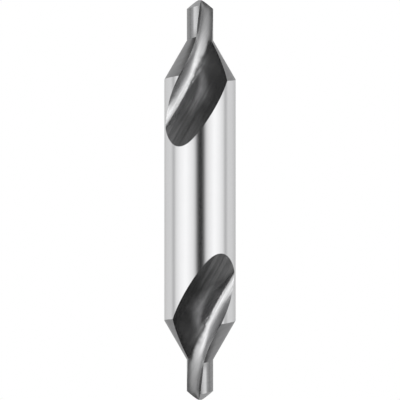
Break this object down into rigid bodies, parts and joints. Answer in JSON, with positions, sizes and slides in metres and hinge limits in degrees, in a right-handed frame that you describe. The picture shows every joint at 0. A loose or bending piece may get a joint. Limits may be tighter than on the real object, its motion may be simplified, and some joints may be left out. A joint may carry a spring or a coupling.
{
  "type": "centre drill",
  "caption": "Double-ended centre drill: a ground steel rod with a fluted pilot and a 60 degree countersink at each end, for starting holes and lathe centres.",
  "frame": {"origin": "middle of the drill's length, on its axis", "axes": "+Z along the drill's axis, towards one of its two like ends; the front land's leading edge faces -Y at that tip"},
  "size_m": [0.01, 0.01, 0.056],
  "materials": {
    "ground_steel": "bright ground high speed steel, with finely ground flutes"
  },
  "bodies": {
    "root": {"centre_drill": "ground_steel"}
  },
  "joints": []
}
